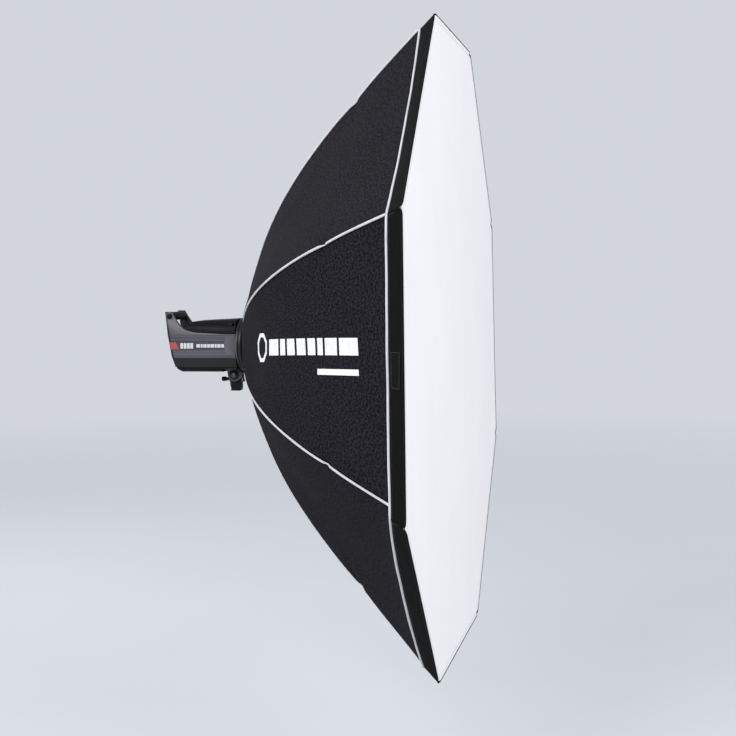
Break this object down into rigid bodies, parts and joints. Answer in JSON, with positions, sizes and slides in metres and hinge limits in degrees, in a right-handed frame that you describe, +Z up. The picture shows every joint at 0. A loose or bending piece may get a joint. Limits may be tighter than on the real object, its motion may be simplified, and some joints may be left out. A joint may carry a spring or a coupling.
{
  "type": "studio softbox with flash head",
  "caption": "Large octagonal studio softbox with white front diffuser, black cloth body, curved rods and rotating ring, on a flash head with a tilting stand bracket.",
  "frame": {"origin": "centre of the mouth of the stand socket, where the light stand's 16 mm spigot goes in", "axes": "+X along the optical axis, the way the light leaves; +Z up; -Y is the side with the domed bolt"},
  "size_m": [0.7923, 1.6168, 1.6168],
  "materials": {
    "cloth_black": "matte",
    "cloth_lip": "matte",
    "cloth_white": "matte",
    "rod": "satin",
    "plastic_grey": "satin",
    "plastic_black": "satin",
    "rubber": "matte",
    "cast_metal": "satin",
    "steel": "polished",
    "clear_glass": "gloss",
    "display": "gloss",
    "circuit_board": "satin",
    "capacitor": "satin",
    "ceramic": "matte"
  },
  "bodies": {
    "stand_mount": {"stand_socket": "cast_metal"},
    "lock_screw": {"stand_lock_screw": "plastic_black"},
    "head": {"side_panel_left": "plastic_grey", "side_panel_right": "plastic_grey", "top_cover": "plastic_black", "bottom_cover": "plastic_black", "front_plate": "plastic_black", "front_ring": "plastic_black", "handle_bar": "rubber", "handle_cap_left": "plastic_black", "handle_cap_right": "plastic_black", "mount_foot": "plastic_grey", "pivot_bolt": "steel", "bolt_washer": "rubber", "rear_panel": "plastic_black", "display_window": "display", "mains_inlet": "plastic_black", "sync_socket": "steel", "control_board": "circuit_board", "fan_frame": "plastic_black", "capacitor_1": "capacitor", "capacitor_2": "capacitor", "lamp_base": "ceramic", "modelling_lamp": "clear_glass", "flash_tube": "clear_glass", "glass_dome": "clear_glass", "bayonet_ring": "cast_metal", "ring_retainer": "cast_metal"},
    "softbox": {"rotating_ring": "cast_metal", "rod_1": "rod", "rod_2": "rod", "rod_3": "rod", "rod_4": "rod", "rod_5": "rod", "rod_6": "rod", "rod_7": "rod", "rod_8": "rod", "shell_panel_1": "cloth_black", "shell_panel_2": "cloth_black", "shell_panel_3": "cloth_black", "shell_panel_4": "cloth_black", "shell_panel_5": "cloth_black", "shell_panel_6": "cloth_black", "shell_panel_7": "cloth_black", "shell_panel_8": "cloth_black", "front_lip": "cloth_lip", "rear_collar": "cloth_lip", "front_diffuser": "cloth_white", "inner_baffle": "cloth_white"},
    "lever": {"tilt_lever": "plastic_black"},
    "latch": {"bayonet_latch": "rubber"},
    "locking_ring": {"lock_ring": "cast_metal"},
    "knob": {"control_knob": "plastic_grey"},
    "rocker": {"power_switch": "plastic_black"},
    "fan": {"fan_rotor": "plastic_black"},
    "button_1_cap": {"button_1": "rubber"},
    "button_2_cap": {"button_2": "rubber"},
    "button_3_cap": {"button_3": "rubber"},
    "button_4_cap": {"button_4": "rubber"}
  },
  "joints": [
    {"name": "tilt", "type": "hinge", "parent": "stand_mount", "child": "head", "pos_m": [0, 0, 0.0445], "axis": [0, 1, 0], "range_deg": [-15, 25]},
    {"name": "stand_lock_screw_turn", "type": "hinge", "parent": "stand_mount", "child": "lock_screw", "pos_m": [-0.03, 0, 0.0315], "axis": [-1, 0, 0], "continuous": true},
    {"name": "softbox_rotation", "type": "hinge", "parent": "head", "child": "softbox", "pos_m": [0.056, 0, 0.126], "axis": [1, 0, 0], "continuous": true},
    {"name": "tilt_lever_turn", "type": "hinge", "parent": "head", "child": "lever", "pos_m": [0, 0.05, 0.0445], "axis": [0, 1, 0], "range_deg": [0, 120]},
    {"name": "lock_ring_turn", "type": "hinge", "parent": "head", "child": "locking_ring", "pos_m": [0.0395, 0, 0.126], "axis": [1, 0, 0], "range_deg": [0, 30]},
    {"name": "bayonet_latch_slide", "type": "slide", "parent": "head", "child": "latch", "axis": [1, 0, 0], "range_m": [0, 0.004], "stiffness_N_per_m": 300, "springref_m": -0.002},
    {"name": "control_knob_turn", "type": "hinge", "parent": "head", "child": "knob", "pos_m": [-0.1728, -0.034, 0.13777], "axis": [0.9854, 0, 0.1702], "continuous": true},
    {"name": "power_switch_rock", "type": "hinge", "parent": "head", "child": "rocker", "pos_m": [-0.15515, 0.034, 0.10023], "axis": [0, -1, 0], "range_deg": [0, 24]},
    {"name": "fan_spin", "type": "hinge", "parent": "head", "child": "fan", "pos_m": [-0.129, 0, 0.126], "axis": [1, 0, 0], "continuous": true},
    {"name": "button_1_press", "type": "slide", "parent": "head", "child": "button_1_cap", "axis": [0.9854, 0, 0.1702], "range_m": [0, 0.0015], "stiffness_N_per_m": 600, "springref_m": -0.0005},
    {"name": "button_2_press", "type": "slide", "parent": "head", "child": "button_2_cap", "axis": [0.9854, 0, 0.1702], "range_m": [0, 0.0015], "stiffness_N_per_m": 600, "springref_m": -0.0005},
    {"name": "button_3_press", "type": "slide", "parent": "head", "child": "button_3_cap", "axis": [0.9854, 0, 0.1702], "range_m": [0, 0.0015], "stiffness_N_per_m": 600, "springref_m": -0.0005},
    {"name": "button_4_press", "type": "slide", "parent": "head", "child": "button_4_cap", "axis": [0.9854, 0, 0.1702], "range_m": [0, 0.0015], "stiffness_N_per_m": 600, "springref_m": -0.0005}
  ]
}
